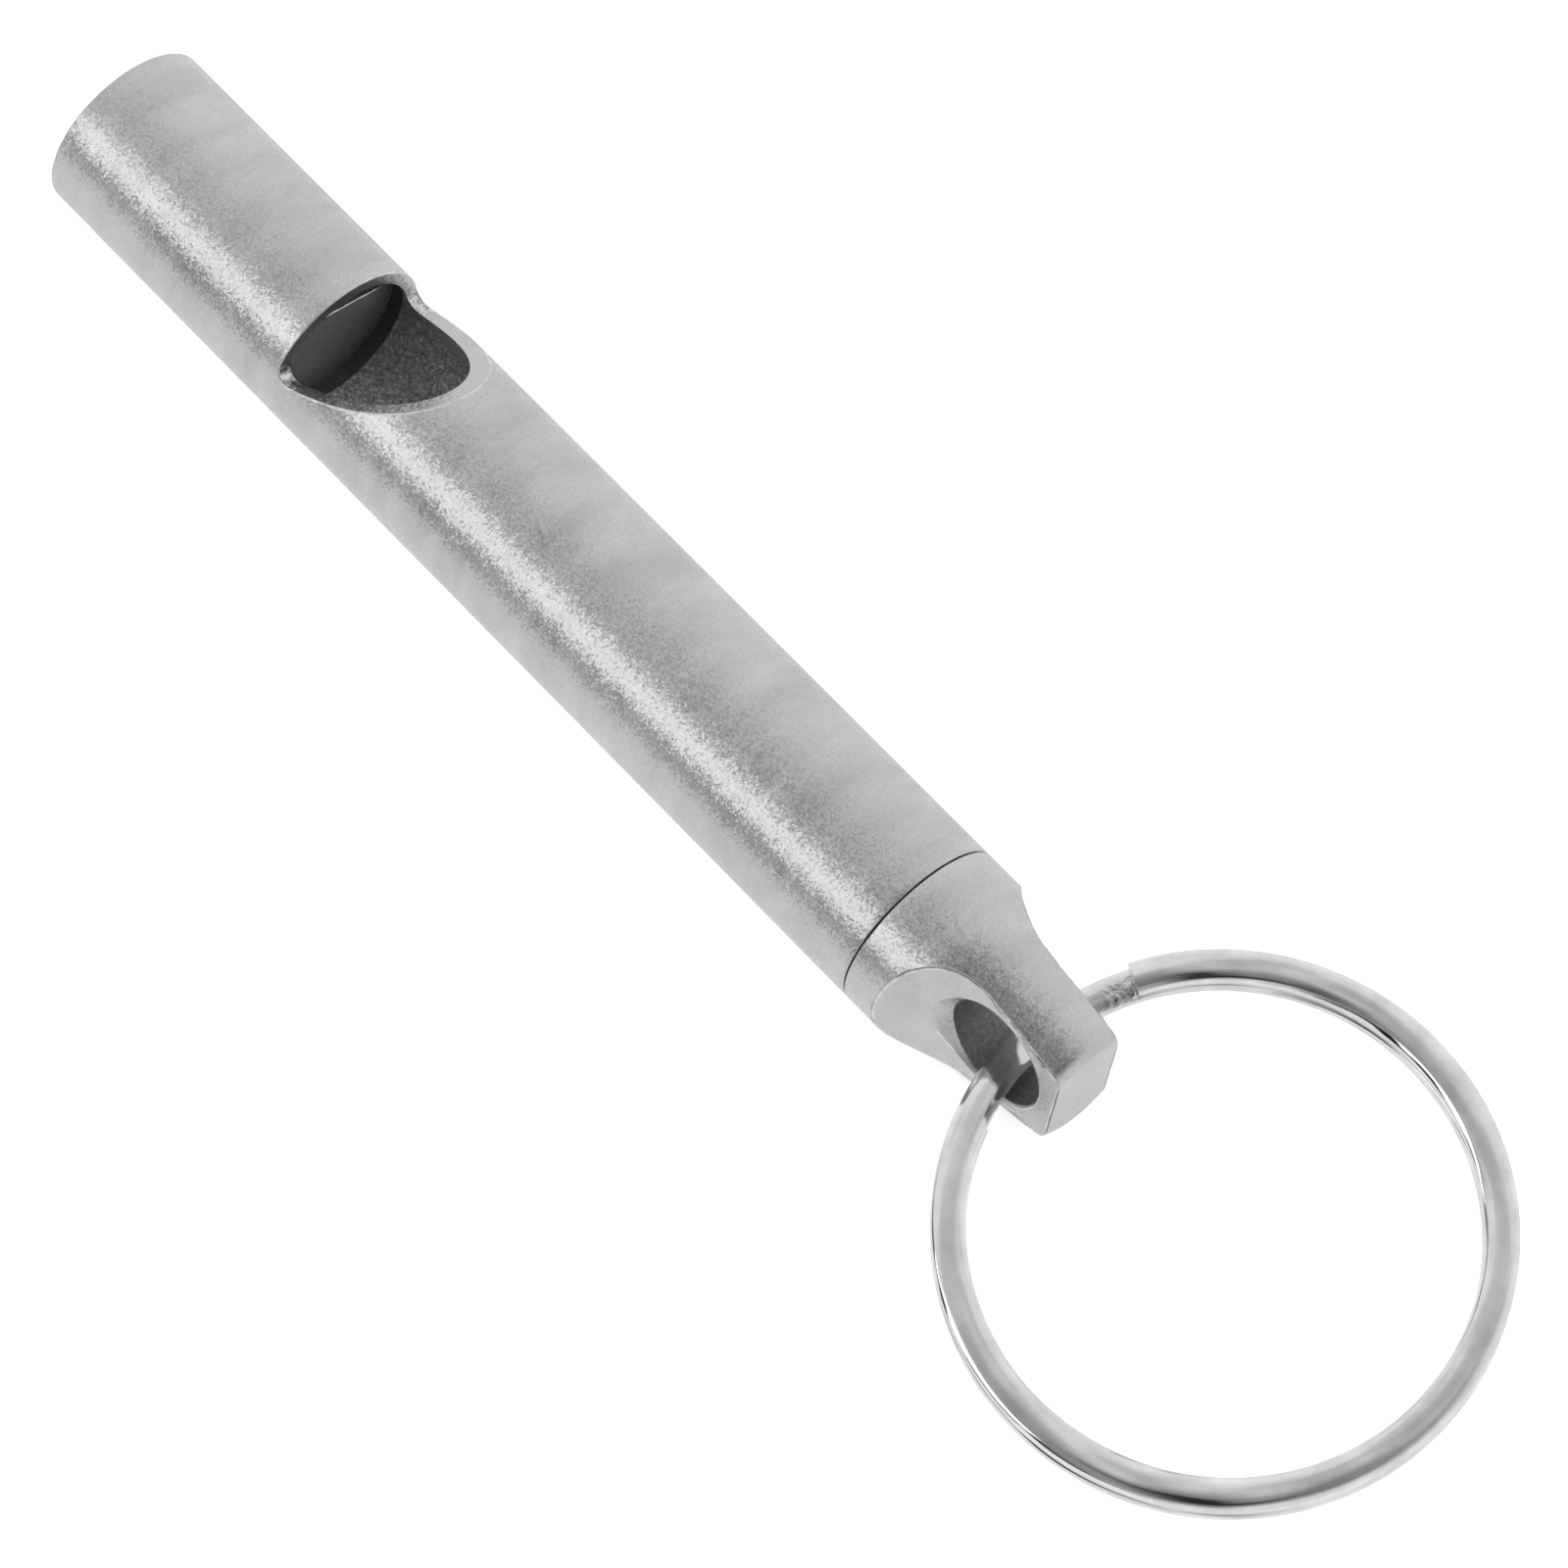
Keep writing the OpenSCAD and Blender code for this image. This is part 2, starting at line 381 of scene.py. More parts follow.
def tang_side(skin, edge_x):
    """The cross hole's wall, its countersink, then the flat and its run-in to the flat's edge."""
    face_z = math.sqrt(TIP_FACE_R ** 2 - FLAT_Y ** 2)
    edge = [(x, math.sqrt(max(0.0, cap_radius(x) ** 2 - tang_height(x) ** 2))) for x in edge_x]
    edge += [(TIP_X, face_z * (1 - t)) for t in fractions(10)[1:]]
    outward = (0, 0.06, 0.16, 0.3, 0.45, 0.6, 0.72, 0.82)
    edge_margin = 0.14
    sink_y = FLAT_Y - SINK_W / math.tan(SINK_SLOPE)
    walls, sinks, flats = [], [], []
    for x, z in edge:
        reach = math.hypot(x - HOLE_X, z)
        ux, uz = (x - HOLE_X) / reach, z / reach

        def at(radius, y):
            return (HOLE_X + ux * radius, y, uz * radius)

        # The countersink is wider where it cuts into the run-in, so its rim is found by steps
        rim = HOLE_R + SINK_W
        for _ in range(8):
            rim = HOLE_R + (tang_height(HOLE_X + ux * rim) - sink_y) * math.tan(SINK_SLOPE)
        lip_y = tang_height(HOLE_X + ux * rim)
        walls.append([at(HOLE_R, y) for y in (0.0, sink_y * 0.5, sink_y - 0.12, sink_y)])
        sinks.append([at(HOLE_R + (rim - HOLE_R) * t, sink_y + (lip_y - sink_y) * t)
                      for t in (0, 0.35, 0.65, 1)])
        radii = [rim + (reach - rim) * t for t in outward]
        radii += [rim + (reach - rim) * (1 - edge_margin / (reach - rim)), reach]
        flats.append([at(r, tang_height(HOLE_X + ux * r)) for r in radii])
    skin.patch(walls, "drilled")
    skin.patch(sinks)
    skin.patch(flats)


def cap():
    """A quarter of the cap, with z above the tang's middle and y on its far side, mirrored."""
    skin = Skin()
    quarter, top_steps = 30, 30
    collar_x = TUBE_LEN + SEAM_GAP + SEAM_ROUND + 0.25
    split_x = 54.4
    fanned = quarter + top_steps
    edge_x = flat_edge(split_x, fanned)
    side = fractions(34, first=0.03)

    # The round, whose rows run from the flat's edge to the collar, then to the top's middle
    rows = []
    for i, x in enumerate(edge_x):
        start = math.asin(min(1.0, tang_height(x) / cap_radius(x)))
        if i <= quarter:
            goal = (collar_x, math.pi / 2 * (1 - i / quarter))
        elif i <= fanned:
            goal = (collar_x + (split_x - collar_x) * (i - quarter) / top_steps, 0.0)
        else:
            goal = (x, 0.0)
        row = []
        for t in side:
            px, pa = x + (goal[0] - x) * t, start + (goal[1] - start) * t
            row.append(on_tube(px, pa, cap_radius(px)))
        rows.append(row)
    skin.patch(rows)
    tang_side(skin, edge_x)

    # The tip's face
    start = math.asin(FLAT_Y / TIP_FACE_R)
    rows = []
    for t in side:
        y, z = TIP_FACE_R * math.sin(start * (1 - t)), TIP_FACE_R * math.cos(start * (1 - t))
        rows.append([(TIP_X, y, z * (1 - u)) for u in fractions(10)])
    skin.patch(rows)

    # The collar, its seam edge and the spigot
    shoulder = TUBE_LEN + SEAM_GAP
    spigot_end = TUBE_LEN - SPIGOT_LEN
    profile = [(collar_x, TUBE_R), (shoulder + SEAM_ROUND, TUBE_R)]
    profile += seam_edge(shoulder, -1)
    profile += [(shoulder, SEAM_LAND_R), (shoulder, BORE_R)]
    profile += [(spigot_end + SPIGOT_CHAMFER, BORE_R), (spigot_end, BORE_R - SPIGOT_CHAMFER)]
    profile += [(spigot_end, 1.5), (spigot_end, 0.0)]
    angles = [math.pi / 2 * (1 - t) for t in fractions(quarter)]
    skin.patch([[on_tube(x, a, r) for a in angles] for x, r in profile])
    skin.mirror(1)
    skin.mirror(2)

    def weight(a, b):
        """The tang's edges are soft, and the cross hole's edges half as soft."""
        if min(a.x, b.x) < RUN_IN_START - NEAR:
            return 0.0
        inner = min(math.hypot(v.x - HOLE_X, v.z) for v in (a, b)) < HOLE_R + 0.45
        return 0.5 if inner and max(abs(a.y), abs(b.y)) < 2.4 else 1.0

    return soften(skin.build("end_cap_piece", TANG_LEAN, weight), CAP_EDGE)


def plug():
    """A short round rod with one flat, whose bevelled inner edge guides the air jet."""
    skin = Skin()
    start = math.acos(PLUG_FLAT / SEAT_R)
    angles = [start + (math.pi - start) * t for t in fractions(40, first=0.03)]
    chord = [SEAT_R * math.sin(start) * t for t in fractions(8)]
    xs = (PLUG_SINK, PLUG_SINK + 0.4, 6.0, PLUG_END - 0.5, PLUG_END)
    skin.patch([[on_tube(x, a, SEAT_R) for a in angles] for x in xs], "faced")
    skin.patch([[(x, y, PLUG_FLAT) for y in chord] for x in xs], "faced")
    for x in (PLUG_SINK, PLUG_END):
        low = [on_tube(x, a, SEAT_R) for a in angles]
        skin.patch([[(x, p[1] * t, p[2]) for t in fractions(8)] for p in low], "faced")
    skin.mirror(1)

    def weight(a, b):
        """Both ends of the flat are bevelled."""
        at_end = min(a.x, b.x) > PLUG_END - NEAR or max(a.x, b.x) < PLUG_SINK + NEAR
        return 1.0 if at_end and min(a.z, b.z) > PLUG_FLAT - NEAR else 0.0

    return soften(skin.build("plug", WINDOW_LEAN, weight), PLUG_EDGE)


# ---------------------------------------------------------------- split ring

def add(tree, kind, inputs=None, **settings):
    """Adds one node with its settings. Each input is given a value, or linked to a socket."""
    made = tree.nodes.new(kind)
    for key, value in settings.items():
        setattr(made, key, value)
    for key, value in (inputs or {}).items():
        if isinstance(value, bpy.types.NodeSocket):
            tree.links.new(value, made.inputs[key])
        else:
            made.inputs[key].default_value = value
    return made


def ring_tree(material):
    """A wire of crowned section swept along two turns of a coil, with one crank in it."""
    tree = bpy.data.node_groups.new("split_ring_wire", "GeometryNodeTree")
    face = tree.interface
    face.new_socket("Geometry", in_out="INPUT", socket_type="NodeSocketGeometry")
    face.new_socket("Geometry", in_out="OUTPUT", socket_type="NodeSocketGeometry")
    for name in ("Coil radius", "Wire width", "Wire thickness", "Level", "Turns",
                 "Crank from", "Crank to", "Crown"):
        face.new_socket(name, in_out="INPUT", socket_type="NodeSocketFloat")
    for name in ("Steps in a turn", "Section steps"):
        face.new_socket(name, in_out="INPUT", socket_type="NodeSocketInt")
    given = add(tree, "NodeGroupInput").outputs

    # The path: a flat coil lifted to the upper level, which drops to the lower one at the crank
    coil = add(tree, "GeometryNodeCurveSpiral", {
        "Resolution": given["Steps in a turn"], "Rotations": given["Turns"],
        "Start Radius": given["Coil radius"], "End Radius": given["Coil radius"],
        "Height": 0.0, "Reverse": False})
    lower = add(tree, "ShaderNodeMath", {0: given["Level"], 1: -1.0}, operation="MULTIPLY")
    drop = add(tree, "ShaderNodeMapRange", {
        "Value": add(tree, "GeometryNodeSplineParameter").outputs["Factor"],
        "From Min": given["Crank from"], "From Max": given["Crank to"],
        "To Min": given["Level"], "To Max": lower.outputs[0]}, interpolation_type="SMOOTHSTEP")
    lift = add(tree, "ShaderNodeCombineXYZ", {"Z": drop.outputs["Result"]})
    path = add(tree, "GeometryNodeSetPosition",
               {"Geometry": coil.outputs[0], "Offset": lift.outputs[0]})
    upright = add(tree, "GeometryNodeSetCurveNormal", {"Curve": path.outputs[0]}, mode="Z_UP")

    # The section: a circle drawn out to the wire's width and thickness, with crowned faces
    circle = add(tree, "GeometryNodeCurvePrimitiveCircle",
                 {"Resolution": given["Section steps"], "Radius": 1.0})
    place = add(tree, "GeometryNodeInputPosition")
    size = add(tree, "ShaderNodeVectorMath", {0: place.outputs[0]}, operation="ABSOLUTE")
    side = add(tree, "ShaderNodeVectorMath", {0: place.outputs[0]}, operation="SIGN")
    crown = add(tree, "ShaderNodeCombineXYZ",
                {"X": given["Crown"], "Y": given["Crown"], "Z": 1.0})
    crowned = add(tree, "ShaderNodeVectorMath", {0: size.outputs[0], 1: crown.outputs[0]},
                  operation="POWER")
    spans = add(tree, "ShaderNodeCombineXYZ",
                {"X": given["Wire width"], "Y": given["Wire thickness"], "Z": 0.0})
    half = add(tree, "ShaderNodeVectorMath", {0: spans.outputs[0], "Scale": 0.5},
               operation="SCALE")
    drawn = add(tree, "ShaderNodeVectorMath", {0: crowned.outputs[0], 1: half.outputs[0]},
                operation="MULTIPLY")
    signed = add(tree, "ShaderNodeVectorMath", {0: drawn.outputs[0], 1: side.outputs[0]},
                 operation="MULTIPLY")
    section = add(tree, "GeometryNodeSetPosition",
                  {"Geometry": circle.outputs[0], "Position": signed.outputs[0]})
    wire = add(tree, "GeometryNodeCurveToMesh", {
        "Curve": upright.outputs[0], "Profile Curve": section.outputs[0], "Fill Caps": True})
    real = add(tree, "GeometryNodeRealizeInstances", {0: wire.outputs[0]})
    painted = add(tree, "GeometryNodeSetMaterial",
                  {"Geometry": real.outputs[0], "Material": material})
    add(tree, "NodeGroupOutput", {0: painted.outputs[0]})
    return tree


def split_ring(material):
    """The coil's tree is run once, its mesh is marked, and the mesh is laid in the tang's hole."""
    level = (WIRE_T + COIL_GAP) / 2
    upper_end = math.asin((FLAT_Y + UPPER_GAP) / WIRE_R)
    lower_end = math.asin((FLAT_Y + LOWER_GAP) / WIRE_R)
    wire_turn = 4 * math.pi - upper_end - lower_end
    before_hole = 2 * math.pi - upper_end
    sizes = {
        "Coil radius": WIRE_R, "Wire width": WIRE_W, "Wire thickness": WIRE_T, "Level": level,
        "Turns": wire_turn / (2 * math.pi), "Crown": CROWN,
        "Crank from": (before_hole - CRANK_START * lower_end) / wire_turn,
        "Crank to": (before_hole + CRANK_STOP * upper_end) / wire_turn,
        "Steps in a turn": 200, "Section steps": 40,
    }
    tree = ring_tree(material)
    carrier = bpy.data.objects.new("wire_carrier", bpy.data.meshes.new("wire_carrier"))
    bpy.context.scene.collection.objects.link(carrier)
    modifier = carrier.modifiers.new("wire", "NODES")
    modifier.node_group = tree
    for item in tree.interface.items_tree:
        if item.in_out == "INPUT" and item.name in sizes:
            modifier[item.identifier] = sizes[item.name]
    mesh = bpy.data.meshes.new_from_object(
        carrier.evaluated_get(bpy.context.evaluated_depsgraph_get()))
    carrier.modifiers.remove(modifier)
    bpy.data.objects.remove(carrier)
    mesh.name = "split_ring_wire"

    # How far along the wire and round its section each point lies, for marks that follow it
    points = np.empty(3 * len(mesh.vertices))
    mesh.vertices.foreach_get("co", points)
    count = sizes["Section steps"]
    index = np.arange(len(mesh.vertices))
    steps = len(mesh.vertices) // count - 1
    along = (index // count) / steps * wire_turn * WIRE_R * MM
    around = (index % count) / count * 2 * (WIRE_W + WIRE_T) * MM
    marks = mesh.attributes.new("wire_way", "FLOAT_VECTOR", "POINT")
    marks.data.foreach_set("vector", np.stack([along, around, 0 * along], 1).ravel())

    # The wire lies on the lower side of the tang's hole, and its far side on the surface
    turned = Matrix.Rotation(math.radians(RING_TURN), 4, "Z") @ Matrix.Rotation(RING_TILT, 4, "Y")
    lie = Matrix.Translation((HOLE_X, 0, -WIRE_DROP)) @ turned @ Matrix.Translation((WIRE_R, 0, 0))
    start = Matrix.Rotation(math.pi - upper_end, 4, "Z")
    mesh.transform(Matrix.Scale(MM, 4) @ lie @ start)
    bm = bmesh.new()
    bm.from_mesh(mesh)
    bmesh.ops.recalc_face_normals(bm, faces=bm.faces)
    bm.to_mesh(mesh)
    bm.free()
    mesh.shade_smooth()
    mesh.set_sharp_from_angle(angle=math.radians(40))
    ring = bpy.data.objects.new("ring_wire", mesh)
    bpy.context.scene.collection.objects.link(ring)
    return ring


# ---------------------------------------------------------------- materials

def linear(hex_colour):
    """An sRGB hex colour as the linear RGBA that a shader takes."""
    parts = [int(hex_colour[i:i + 2], 16) / 255 for i in (1, 3, 5)]
    light = [c / 12.92 if c <= 0.04045 else ((c + 0.055) / 1.055) ** 2.4 for c in parts]
    return (*light, 1.0)


def new_material(name):
    made = bpy.data.materials.new(name)
    made.use_nodes = True
    return made, made.node_tree, made.node_tree.nodes["Principled BSDF"]


# The colour sockets of a Mix node, whose names it shares with its other kinds of socket
MIX_A, MIX_B, MIX_RESULT = 6, 7, 2


def glitter(tree, where, grain, tilt):
    """A normal that tilts another way on each grain of the surface."""
    cells = add(tree, "ShaderNodeTexVoronoi", {"Vector": where, "Scale": 1 / (grain * MM)})
    spread = add(tree, "ShaderNodeVectorMath",
                 {0: cells.outputs["Color"], 1: (0.5, 0.5, 0.5)}, operation="SUBTRACT")
    tilted = add(tree, "ShaderNodeVectorMath",
                 {0: spread.outputs[0], "Scale": 2 * tilt}, operation="SCALE")
    normal = add(tree, "ShaderNodeNewGeometry").outputs["Normal"]
    both = add(tree, "ShaderNodeVectorMath", {0: normal, 1: tilted.outputs[0]}, operation="ADD")
    return add(tree, "ShaderNodeVectorMath", {0: both.outputs[0]},
               operation="NORMALIZE").outputs[0]


def blasted_titanium():
    """Titanium, turned and then bead-blasted: even satin grey with a fine bright sparkle,
    slightly smeared, over faint rings that the lathe left."""
    made, tree, shader = new_material("bead_blasted_titanium")
    where = add(tree, "ShaderNodeTexCoord").outputs["Object"]
    # Each bead leaves a dimple of about 0.06 mm, drawn at 0.08 mm so that they show
    sparkle = glitter(tree, where, 0.08, 0.1)
    grit = add(tree, "ShaderNodeTexNoise",
               {"Vector": where, "Scale": 1 / (0.08 * MM), "Detail": 1.0})
    # Handling leaves smears of a few millimetres, drawn out across the tube
    smear = add(tree, "ShaderNodeMapping",
                {"Vector": where, "Scale": (1 / (1.6 * MM), 1 / (5 * MM), 1 / (5 * MM))})
    smears = add(tree, "ShaderNodeTexNoise",
                 {"Vector": smear.outputs[0], "Scale": 1.0, "Detail": 5.0, "Roughness": 0.6})
    # Lathe rings lie across the axis, about 0.25 mm apart, and fade in and out
    across = add(tree, "ShaderNodeMapping",
                 {"Vector": where, "Scale": (1 / (0.25 * MM), 180.0, 180.0)})
    rings = add(tree, "ShaderNodeTexNoise",
                {"Vector": across.outputs[0], "Scale": 1.0, "Detail": 2.0})
    smeared = add(tree, "ShaderNodeMapRange", {
        "Value": smears.outputs["Fac"], "From Min": 0.3, "From Max": 0.7})
    tone = add(tree, "ShaderNodeMix", {
        0: smeared.outputs["Result"], MIX_A: linear("#b6b6b6"), MIX_B: linear("#cbcbcb")},
        data_type="RGBA")
    speck = add(tree, "ShaderNodeMapRange", {
        "Value": grit.outputs["Fac"], "From Min": 0.3, "From Max": 0.7,
        "To Min": 0.91, "To Max": 1.07})
    grain = add(tree, "ShaderNodeVectorMath", {
        0: tone.outputs[MIX_RESULT], "Scale": speck.outputs["Result"]}, operation="SCALE")
    tree.links.new(grain.outputs[0], shader.inputs["Base Color"])
    rough = add(tree, "ShaderNodeMapRange", {
        "Value": smears.outputs["Fac"], "From Min": 0.3, "From Max": 0.7,
        "To Min": 0.31, "To Max": 0.37})
    tree.links.new(rough.outputs["Result"], shader.inputs["Roughness"])
    shader.inputs["Metallic"].default_value = 1.0
    turned = add(tree, "ShaderNodeBump", {
        "Height": rings.outputs["Fac"], "Strength": 0.4, "Distance": 0.006 * MM,
        "Normal": sparkle})
    tree.links.new(turned.outputs["Normal"], shader.inputs["Normal"])
    return made


def cut_titanium(name, dark, light, roughness, grain, tilt):
    """Titanium as the cutter left it, out of the blast's reach: dull metal with fine
    speckles where chips have torn it. The copy with the darkest colours, on the plug's seat, is
    painted shade."""
    made, tree, shader = new_material(name)
    where = add(tree, "ShaderNodeTexCoord").outputs["Object"]
    specks = add(tree, "ShaderNodeTexNoise",
                 {"Vector": where, "Scale": 1 / (0.2 * MM), "Detail": 3.0, "Roughness": 0.7})
    speckled = add(tree, "ShaderNodeMapRange", {
        "Value": specks.outputs["Fac"], "From Min": 0.45, "From Max": 0.75})
    tone = add(tree, "ShaderNodeMix", {
        0: speckled.outputs["Result"], MIX_A: linear(dark), MIX_B: linear(light)},
        data_type="RGBA")
    tree.links.new(tone.outputs[MIX_RESULT], shader.inputs["Base Color"])
    shader.inputs["Roughness"].default_value = roughness
    shader.inputs["Metallic"].default_value = 1.0
    tree.links.new(glitter(tree, where, grain, tilt), shader.inputs["Normal"])
    return made


def torn_titanium():
    """The window's corners and the seat's step, where the cutter stopped: bright, ragged
    metal."""
    made, tree, shader = new_material("torn_titanium")
    where = add(tree, "ShaderNodeTexCoord").outputs["Object"]
    tears = add(tree, "ShaderNodeTexNoise",
                {"Vector": where, "Scale": 1 / (0.25 * MM), "Detail": 4.0, "Roughness": 0.75})
    ragged = add(tree, "ShaderNodeMapRange", {
        "Value": tears.outputs["Fac"], "From Min": 0.4, "From Max": 0.6})
    tone = add(tree, "ShaderNodeMix", {
        0: ragged.outputs["Result"], MIX_A: linear("#8a8a8a"), MIX_B: linear("#e8e8e8")},
        data_type="RGBA")
    tree.links.new(tone.outputs[MIX_RESULT], shader.inputs["Base Color"])
    shader.inputs["Roughness"].default_value = 0.3
    shader.inputs["Metallic"].default_value = 1.0
    bump = add(tree, "ShaderNodeBump", {
        "Height": tears.outputs["Fac"], "Strength": 0.6, "Distance": 0.08 * MM,
        "Normal": glitter(tree, where, 0.12, 0.15)})
    tree.links.new(bump.outputs["Normal"], shader.inputs["Normal"])
    return made


def edge_wear_and_highlight_titanium():
    """Softened edges, a little lighter than the blasted skin: a painted highlight for the thin
    bright line along each edge, with wear where pockets and keys rub the outer ones."""
    made, tree, shader = new_material("edge_wear_and_highlight_titanium")
    where = add(tree, "ShaderNodeTexCoord").outputs["Object"]
    nicks = add(tree, "ShaderNodeTexNoise",
                {"Vector": where, "Scale": 1 / (0.5 * MM), "Detail": 4.0})
    nicked = add(tree, "ShaderNodeMapRange", {
        "Value": nicks.outputs["Fac"], "From Min": 0.35, "From Max": 0.6})
    # Lighter than the skin: a painted highlight along the edge, varied by wear
    tone = add(tree, "ShaderNodeMix", {
        0: nicked.outputs["Result"], MIX_A: linear("#bcbcbc"), MIX_B: linear("#dadada")},
        data_type="RGBA")
    tree.links.new(tone.outputs[MIX_RESULT], shader.inputs["Base Color"])
    shader.inputs["Roughness"].default_value = 0.3
    shader.inputs["Metallic"].default_value = 1.0
    tree.links.new(glitter(tree, where, 0.12, 0.05), shader.inputs["Normal"])
    return made


def nickel_plate():
    """Bright nickel plate on drawn spring wire: mirror gloss with hair scratches along it,
    and bites where the wire was cut beside the upper coil's end."""
    made, tree, shader = new_material("bright_nickel_plate")
    way = add(tree, "ShaderNodeAttribute", attribute_name="wire_way").outputs["Vector"]
    where = add(tree, "ShaderNodeTexCoord").outputs["Object"]
    # Hair scratches about 0.06 mm apart and a few millimetres long
    stretch = add(tree, "ShaderNodeMapping",
                  {"Vector": way, "Scale": (1 / (4 * MM), 1 / (0.06 * MM), 1.0)})
    hairs = add(tree, "ShaderNodeTexNoise",
                {"Vector": stretch.outputs[0], "Scale": 1.0, "Detail": 3.0})
    rough = add(tree, "ShaderNodeMapRange", {
        "Value": hairs.outputs["Fac"], "From Min": 0.4, "From Max": 0.75,
        "To Min": 0.05, "To Max": 0.16})
    tree.links.new(rough.outputs["Result"], shader.inputs["Roughness"])
    dulled = add(tree, "ShaderNodeTexNoise",
                 {"Vector": where, "Scale": 1 / (1.5 * MM), "Detail": 4.0})
    worn = add(tree, "ShaderNodeMapRange", {
        "Value": dulled.outputs["Fac"], "From Min": 0.35, "From Max": 0.65})
    tone = add(tree, "ShaderNodeMix", {
        0: worn.outputs["Result"], MIX_A: linear("#d4d4d4"), MIX_B: linear("#e6e6e6")},
        data_type="RGBA")
    tree.links.new(tone.outputs[MIX_RESULT], shader.inputs["Base Color"])
    shader.inputs["Metallic"].default_value = 1.0
    # The wire is drawn and coiled a little unevenly, in waves some 6 mm long and 0.7 mm wide
    uneven = add(tree, "ShaderNodeMapping",
                 {"Vector": way, "Scale": (1 / (6 * MM), 1 / (0.7 * MM), 1.0)})
    waves = add(tree, "ShaderNodeTexNoise",
                {"Vector": uneven.outputs[0], "Scale": 1.0, "Detail": 1.0})
    waved = add(tree, "ShaderNodeBump", {
        "Height": waves.outputs["Fac"], "Strength": 1.0, "Distance": 0.12 * MM})
    drawn = add(tree, "ShaderNodeBump", {
        "Height": hairs.outputs["Fac"], "Strength": 0.4, "Distance": 0.003 * MM,
        "Normal": waved.outputs["Normal"]})
    # The bites start about 1 mm before the wire passes below the upper coil's end, and fade
    # out just under it
    place = add(tree, "ShaderNodeSeparateXYZ", {0: way})
    full = 2 * math.pi * WIRE_R * MM
    near = add(tree, "ShaderNodeMapRange", {
        "Value": place.outputs["X"], "From Min": full - 1.8 * MM, "From Max": full - 0.9 * MM})
    past = add(tree, "ShaderNodeMapRange", {
        "Value": place.outputs["X"], "From Min": full + 0.3 * MM, "From Max": full,
        "To Min": 0.0, "To Max": 1.0})
    here = add(tree, "ShaderNodeMath",
               {0: near.outputs["Result"], 1: past.outputs["Result"]}, operation="MULTIPLY")
    bites = add(tree, "ShaderNodeTexNoise",
                {"Vector": where, "Scale": 1 / (0.5 * MM), "Detail": 2.0})
    bitten = add(tree, "ShaderNodeBump", {
        "Height": bites.outputs["Fac"], "Strength": here.outputs[0], "Distance": 0.1 * MM,
        "Normal": drawn.outputs["Normal"]})
    tree.links.new(bitten.outputs["Normal"], shader.inputs["Normal"])
    return made


# ---------------------------------------------------------------- the object

FINISHES = {
    "blasted": blasted_titanium(),
    "bored": cut_titanium("bored_titanium", "#bebebe", "#ececec", 0.55, 0.1, 0.3),
    "drilled": cut_titanium("drilled_titanium", "#8c8c8c", "#a8a8a8", 0.55, 0.1, 0.06),
    # Dark colours for the plug's seat: painted shade in the groove beyond the plug's end
    "soiled": cut_titanium("seat_painted_shade_titanium", "#6a6a6a", "#7c7c7c", 0.6, 0.1, 0.05),
    "faced": cut_titanium("faced_titanium", "#d0d0d0", "#e0e0e0", 0.6, 0.1, 0.08),
    "torn": torn_titanium(),
    # Edges: wear, with a painted highlight in their lighter colour
    "edge_wear_and_highlight": edge_wear_and_highlight_titanium(),
    "nickel": nickel_plate(),
}

pieces = (
    (tube(), "whistle", "whistle_tube", "blasted_titanium"),
    (plug(), "whistle", "fipple_plug", "plug_titanium"),
    (cap(), "whistle", "end_cap", "blasted_titanium"),
    (split_ring(FINISHES["nickel"]), "ring", "split_ring", "nickel_steel"),
)
for piece, body, stands_for, slot in pieces:
    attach(piece, body)
    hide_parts(stands_for)


# ---------------------------------------------------------------- floor, light and camera

RIGHT = Vector((0.66634, 0.74425, -0.04558)).normalized()
UP = Vector((-0.67094, 0.62513, 0.39881)).normalized()
CAMERA_WAY = RIGHT.cross(UP).normalized()
CAMERA_AT = (0.1432358, -0.0736558, 0.2875716)
FLOOR_Z = -4.0 * MM
FLOOR_HALF = 1.5
LIT_MIDDLE = Vector((0.035, 0, 0))
# Brightness of the room against the cosine of the angle from each dim patch's middle
DIM_OVERHEAD = ((0.0, 1.0), (0.68, 0.85), (0.84, 0.5), (0.94, 0.3), (0.985, 0.15), (0.997, 0.03))
DIM_SIDE = ((0.0, 1.0), (0.45, 1.0), (0.8, 0.02))


def floor():
    """White paper under the whistle. Metal sees it evenly lit, without the whistle's shadow."""
    made, tree, shader = new_material("white_paper")
    shader.inputs["Base Color"].default_value = linear("#f4f4f4")
    shader.inputs["Roughness"].default_value = 0.9
    seen_in_metal = add(tree, "ShaderNodeLightPath").outputs["Is Glossy Ray"]
    even = add(tree, "ShaderNodeEmission", {"Color": (1.0, 1.0, 1.0, 1.0), "Strength": 1.0})
    either = add(tree, "ShaderNodeMixShader", {
        "Fac": seen_in_metal, 1: shader.outputs["BSDF"], 2: even.outputs["Emission"]})
    tree.links.new(either.outputs["Shader"], tree.nodes["Material Output"].inputs["Surface"])
    mesh = bpy.data.meshes.new("floor")
    corners = [(FLOOR_HALF * i, FLOOR_HALF * j, FLOOR_Z)
               for i, j in ((-1, -1), (1, -1), (1, 1), (-1, 1))]
    mesh.from_pydata(corners, [], [(0, 1, 2, 3)])
    mesh.materials.append(made)
    sheet = bpy.data.objects.new("floor", mesh)
    bpy.context.scene.collection.objects.link(sheet)


def toward(azimuth, elevation):
    """A direction. Azimuth counts from +X towards +Y."""
    a, e = math.radians(azimuth), math.radians(elevation)
    return Vector((math.cos(a) * math.cos(e), math.sin(a) * math.cos(e), math.sin(e)))


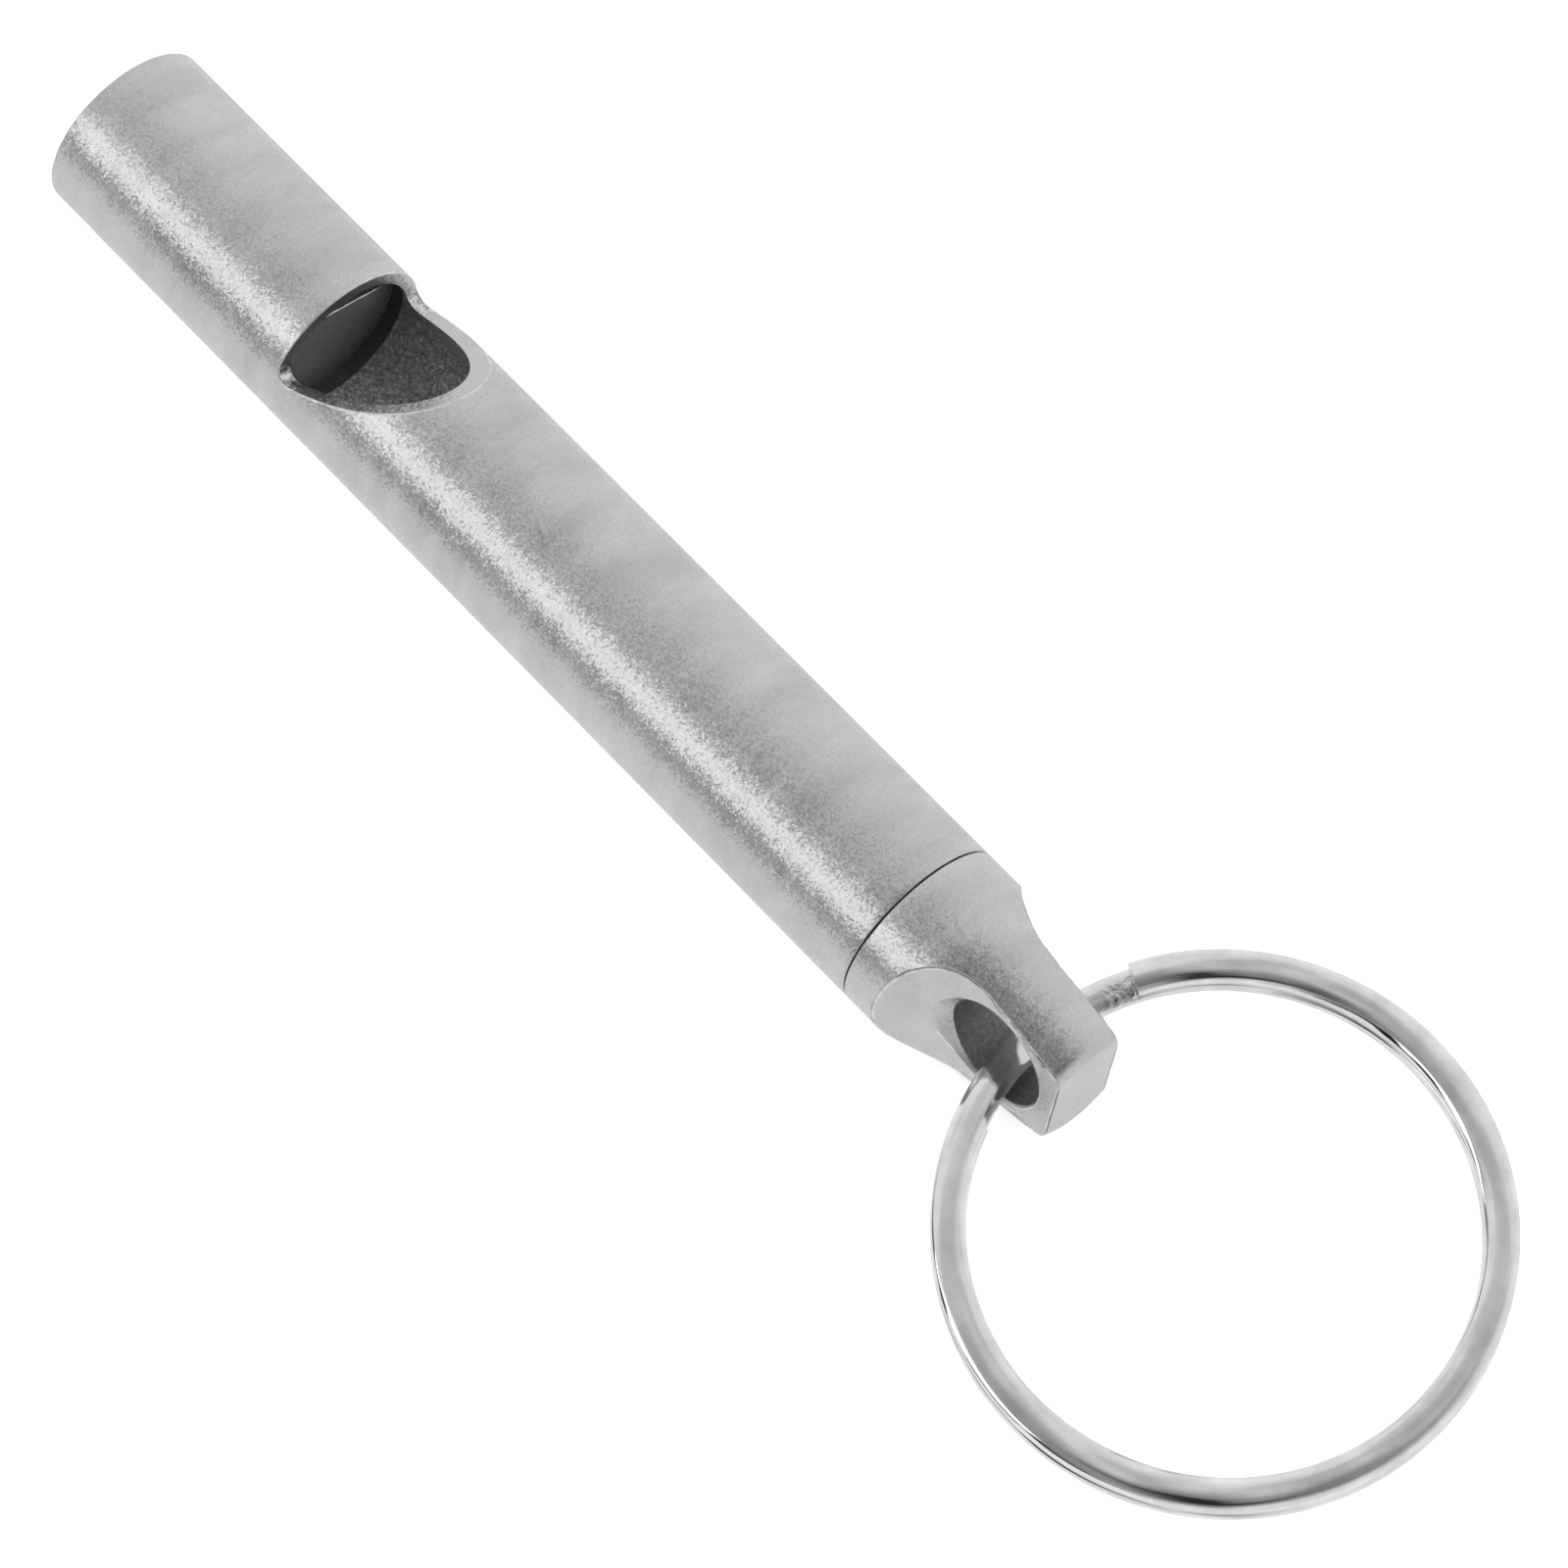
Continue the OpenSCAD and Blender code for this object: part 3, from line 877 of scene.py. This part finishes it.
def softbox(name, azimuth, elevation, distance, width, height, radiance):
    """A flat light that faces the whistle."""
    out = toward(azimuth, elevation)
    data = bpy.data.lights.new(name, "AREA")
    data.shape = "RECTANGLE"
    data.size, data.size_y = width, height
    data.energy = radiance * math.pi * width * height
    lamp = bpy.data.objects.new(name, data)
    lamp.location = LIT_MIDDLE + out * distance
    lamp.rotation_euler = out.to_track_quat("Z", "Y").to_euler()
    bpy.context.scene.collection.objects.link(lamp)
    return lamp


def room():
    """A pale room, dim over the camera and low on the key light's side."""
    world = bpy.data.worlds.new("studio")
    bpy.context.scene.world = world
    world.use_nodes = True
    tree = world.node_tree
    way = add(tree, "ShaderNodeTexCoord").outputs["Generated"]
    shades = []
    for centre, steps in ((CAMERA_WAY, DIM_OVERHEAD), (toward(-112, -2), DIM_SIDE)):
        facing = add(tree, "ShaderNodeVectorMath", {0: way, 1: tuple(centre)},
                     operation="DOT_PRODUCT")
        ramp = add(tree, "ShaderNodeValToRGB", {"Fac": facing.outputs["Value"]})
        points = ramp.color_ramp.elements
        while len(points) < len(steps):
            points.new(0.5)
        for point, (at, shade) in zip(points, steps):
            point.position = at
            point.color = (shade, shade, shade, 1.0)
        shades.append(ramp.outputs["Color"])
    both = add(tree, "ShaderNodeVectorMath", {0: shades[0], 1: shades[1]}, operation="MULTIPLY")
    tree.links.new(both.outputs[0], tree.nodes["Background"].inputs["Color"])
    tree.nodes["Background"].inputs["Strength"].default_value = 1.0


floor()
room()
softbox("left_box", -116, 32, 0.6, 0.5, 0.3, 1.9)
wash = softbox("floor_wash", 60, 88, 0.5, 2.4, 2.4, 2.2)
wash.visible_glossy = False

bpy.context.scene.view_settings.view_transform = "Standard"

camera = bpy.data.cameras.new("camera")
camera.lens = 180.02
camera.sensor_width = 36
camera.clip_start, camera.clip_end = 0.01, 10
viewer = bpy.data.objects.new("camera", camera)
turned = Matrix((RIGHT, CAMERA_WAY.cross(RIGHT), CAMERA_WAY)).transposed().to_4x4()
viewer.matrix_world = Matrix.Translation(CAMERA_AT) @ turned
bpy.context.scene.collection.objects.link(viewer)
bpy.context.scene.camera = viewer
